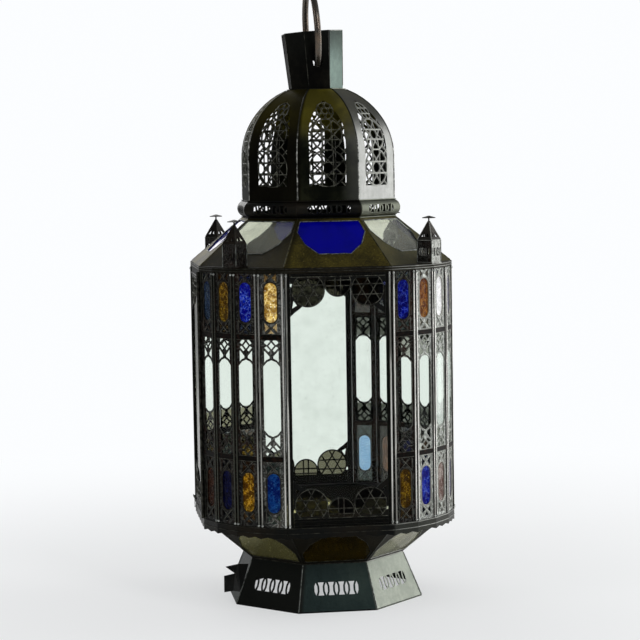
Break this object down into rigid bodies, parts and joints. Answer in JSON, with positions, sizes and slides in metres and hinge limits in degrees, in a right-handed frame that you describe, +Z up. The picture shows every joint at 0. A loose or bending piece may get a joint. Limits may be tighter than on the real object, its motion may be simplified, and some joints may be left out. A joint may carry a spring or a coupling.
{
  "type": "hanging lantern",
  "caption": "Hanging festival lantern of pierced sheet metal and coloured glass, with a glazed body with rounded corners, a hinged door, a pierced dome, a collar and a hanging ring.",
  "frame": {"origin": "centre of the foot's lower edge, on the floor", "axes": "+Z up through the dome and collar, +X to the right and -Y to the front, the side that the picture shows"},
  "size_m": [0.4683, 0.4646, 1.1289],
  "materials": {
    "dark_iron": "near-black patina on thin sheet, worn",
    "old_brass": "dull olive-brown patina, embossed",
    "green_patina": "grey-green patina with bright solder",
    "blue_glass": "hammered cobalt glass",
    "gold_glass": "hammered golden glass",
    "amber_glass": "dark amber glass",
    "clear_glass": "clear, slightly dusty"
  },
  "bodies": {
    "lantern": {"base_skirt": "dark_iron", "candle_tray": "dark_iron", "candle_cup": "dark_iron", "taper_panels": "old_brass", "taper_glass_clear": "clear_glass", "taper_glass_amber": "amber_glass", "sill_ring": "dark_iron", "apron_band": "dark_iron", "panels_front_right": "dark_iron", "panels_back_right": "dark_iron", "panels_back_left": "dark_iron", "panels_front_left": "dark_iron", "cames_front_right": "green_patina", "cames_back_right": "green_patina", "cames_back_left": "green_patina", "cames_front_left": "green_patina", "blue_panes_front_right": "blue_glass", "blue_panes_back_right": "blue_glass", "blue_panes_back_left": "blue_glass", "blue_panes_front_left": "blue_glass", "gold_panes_front_right": "gold_glass", "gold_panes_back_right": "gold_glass", "gold_panes_back_left": "gold_glass", "gold_panes_front_left": "gold_glass", "long_panes_front_right": "clear_glass", "long_panes_back_right": "clear_glass", "long_panes_back_left": "clear_glass", "long_panes_front_left": "clear_glass", "head_ring": "old_brass", "top_band": "old_brass", "front_window_frame": "green_patina", "front_window_glass": "clear_glass", "front_valances": "dark_iron", "right_window_frame": "green_patina", "right_window_glass": "clear_glass", "right_valances": "dark_iron", "back_window_frame": "green_patina", "back_window_glass": "clear_glass", "back_valances": "dark_iron", "post_hinge_barrels": "green_patina", "hinge_pin": "dark_iron", "latch_peg": "dark_iron", "roof_panels": "old_brass", "roof_glass_blue": "blue_glass", "roof_glass_clear": "clear_glass", "turret_towers": "dark_iron", "turret_caps": "dark_iron", "moulding_ring": "dark_iron", "dome_gores": "dark_iron", "dome_cap_plate": "dark_iron", "collar": "green_patina"},
    "door": {"door_frame": "green_patina", "door_glass": "clear_glass", "door_valances": "dark_iron", "door_hinge_barrels": "green_patina", "hook_rivet": "dark_iron"},
    "door_hook": {"door_hook": "dark_iron"},
    "hanging_ring": {"hanging_ring": "dark_iron"}
  },
  "joints": [
    {"name": "door_swing", "type": "hinge", "parent": "lantern", "child": "door", "pos_m": [-0.23332, -0.09598, 0.3955], "axis": [0, 0, 1], "range_deg": [0, 110]},
    {"name": "hook_swing", "type": "hinge", "parent": "door", "child": "door_hook", "pos_m": [-0.2333, 0.08667, 0.1755], "axis": [1, 0, 0], "range_deg": [-90, 90]},
    {"name": "ring_swing", "type": "hinge", "parent": "lantern", "child": "hanging_ring", "pos_m": [-0.00279, 0, 0.98704], "axis": [0, 1, 0], "range_deg": [-115, 115]}
  ]
}
